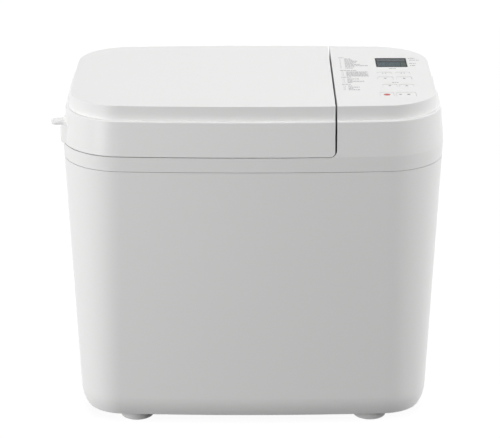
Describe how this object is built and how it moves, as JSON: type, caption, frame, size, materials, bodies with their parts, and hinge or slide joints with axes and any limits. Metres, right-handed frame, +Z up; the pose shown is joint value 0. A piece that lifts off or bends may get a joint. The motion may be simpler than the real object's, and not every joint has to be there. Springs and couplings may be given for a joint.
{
  "type": "bread machine",
  "caption": "Countertop bread machine with a hinged bevelled lid beside a flat button panel, and a removable pan with kneading drive inside.",
  "frame": {"origin": "centre of the bounding box's bottom face, on the surface the feet stand on", "axes": "+X to the right from the lid's end to the control panel's end, +Y to the rear, +Z up"},
  "size_m": [0.4194, 0.2602, 0.362],
  "materials": {
    "casing_plastic": "white, satin moulded",
    "lid_plastic": "white, satin moulded",
    "inner_plastic": "light grey, matt moulded",
    "button_plastic": "white, satin moulded",
    "window_glass": "tinted clear plastic",
    "display_grey": "liquid-crystal glass in a frame",
    "board_green": "coated circuit board",
    "component_black": "moulded electronic component",
    "chamber_steel": "grey coated sheet steel",
    "zinc_steel": "zinc-plated sheet steel",
    "bright_steel": "ground steel",
    "liner_alu": "drawn aluminium tray",
    "pan_coated": "dark non-stick coating on aluminium",
    "handle_steel": "bright plated wire",
    "cast_alu": "die-cast aluminium",
    "sheath_steel": "heat-tinted steel sheath",
    "ceramic_white": "unglazed ceramic",
    "bronze_bearing": "oil-filled sintered bronze",
    "rubber_black": "black rubber",
    "rubber_grey": "grey moulded rubber",
    "silicone_grey": "grey silicone",
    "wool_pad": "mineral-wool pad",
    "stack_steel": "laminated stack with end bells"
  },
  "bodies": {
    "casing": {"body_shell": "casing_plastic", "top_frame": "casing_plastic", "base_plate": "inner_plastic", "base_screws": "zinc_steel", "rubber_feet": "rubber_grey", "display_window": "window_glass", "display_module": "display_grey", "control_board": "board_green", "board_screws": "zinc_steel", "push_switches": "component_black", "baking_chamber": "chamber_steel", "chamber_screws": "zinc_steel", "chamber_supports": "zinc_steel", "heat_shield": "zinc_steel", "heater_element": "sheath_steel", "heater_bushes": "ceramic_white", "heater_clips": "zinc_steel", "temperature_sensor": "bright_steel", "thermal_cutout": "component_black", "pan_seat": "cast_alu", "pan_clips": "bright_steel", "drive_bearings": "bronze_bearing", "bearing_housing": "cast_alu", "drive_belt": "rubber_black", "motor_housing": "stack_steel", "motor_bracket": "zinc_steel", "motor_capacitor": "liner_alu", "chassis": "zinc_steel", "chassis_screws": "zinc_steel", "power_board": "board_green", "transformer": "stack_steel", "relay": "component_black", "cord_gland": "rubber_grey"},
    "lid": {"lid_shell": "lid_plastic", "lid_inner_cover": "inner_plastic", "lid_liner": "liner_alu", "lid_insulation": "wool_pad", "lid_gasket": "silicone_grey", "lid_screws": "zinc_steel", "hinge_pins": "bright_steel"},
    "pan": {"bread_pan": "pan_coated", "pan_bearing": "bronze_bearing", "pan_seal": "rubber_black"},
    "bail": {"pan_handle": "handle_steel"},
    "pan_drive": {"pan_shaft": "bright_steel", "pan_coupling": "cast_alu"},
    "blade": {"kneading_blade": "pan_coated"},
    "drive": {"drive_shaft": "bright_steel", "drive_coupling": "cast_alu", "driven_pulley": "cast_alu"},
    "rotor": {"motor_shaft": "bright_steel", "motor_pulley": "bright_steel"},
    "button_size": {"button_size": "button_plastic"},
    "button_crust": {"button_crust": "button_plastic"},
    "button_menu_down": {"button_menu_down": "button_plastic"},
    "button_menu_up": {"button_menu_up": "button_plastic"},
    "button_timer_down": {"button_timer_down": "button_plastic"},
    "button_timer_up": {"button_timer_up": "button_plastic"},
    "button_stop": {"button_stop": "button_plastic"},
    "button_start": {"button_start": "button_plastic"}
  },
  "joints": [
    {"name": "lid_hinge", "type": "hinge", "parent": "casing", "child": "lid", "pos_m": [-0.02425, 0.1261, 0.3084], "axis": [-1, 0, 0], "range_deg": [0, 85]},
    {"name": "pan_lift", "type": "slide", "parent": "casing", "child": "pan", "axis": [0, 0, 1], "range_m": [0, 0.025]},
    {"name": "bail_swing", "type": "hinge", "parent": "pan", "child": "bail", "pos_m": [-0.05425, -0.0041, 0.229], "axis": [-1, 0, 0], "range_deg": [0, 180]},
    {"name": "pan_spin", "type": "hinge", "parent": "pan", "child": "pan_drive", "pos_m": [-0.05425, -0.0041, 0.08], "axis": [0, 0, 1], "continuous": true},
    {"name": "blade_lift", "type": "slide", "parent": "pan_drive", "child": "blade", "axis": [0, 0, 1], "range_m": [0, 0.04]},
    {"name": "drive_spin", "type": "hinge", "parent": "casing", "child": "drive", "pos_m": [-0.05425, -0.0041, 0.03], "axis": [0, 0, 1], "continuous": true},
    {"name": "motor_spin", "type": "hinge", "parent": "casing", "child": "rotor", "pos_m": [0.14175, -0.0041, 0.06], "axis": [0, 0, 1], "continuous": true},
    {"name": "button_size_press", "type": "slide", "parent": "casing", "child": "button_size", "axis": [0, 0, -1], "range_m": [0, 0.0005], "stiffness_N_per_m": 600},
    {"name": "button_crust_press", "type": "slide", "parent": "casing", "child": "button_crust", "axis": [0, 0, -1], "range_m": [0, 0.0005], "stiffness_N_per_m": 600},
    {"name": "button_menu_down_press", "type": "slide", "parent": "casing", "child": "button_menu_down", "axis": [0, 0, -1], "range_m": [0, 0.0005], "stiffness_N_per_m": 600},
    {"name": "button_menu_up_press", "type": "slide", "parent": "casing", "child": "button_menu_up", "axis": [0, 0, -1], "range_m": [0, 0.0005], "stiffness_N_per_m": 600},
    {"name": "button_timer_down_press", "type": "slide", "parent": "casing", "child": "button_timer_down", "axis": [0, 0, -1], "range_m": [0, 0.0005], "stiffness_N_per_m": 600},
    {"name": "button_timer_up_press", "type": "slide", "parent": "casing", "child": "button_timer_up", "axis": [0, 0, -1], "range_m": [0, 0.0005], "stiffness_N_per_m": 600},
    {"name": "button_stop_press", "type": "slide", "parent": "casing", "child": "button_stop", "axis": [0, 0, -1], "range_m": [0, 0.0005], "stiffness_N_per_m": 600},
    {"name": "button_start_press", "type": "slide", "parent": "casing", "child": "button_start", "axis": [0, 0, -1], "range_m": [0, 0.0005], "stiffness_N_per_m": 600}
  ],
  "couplings": [
    {"joint": "pan_spin", "follows": "drive_spin", "ratio": 1},
    {"joint": "motor_spin", "follows": "drive_spin", "ratio": 6}
  ]
}
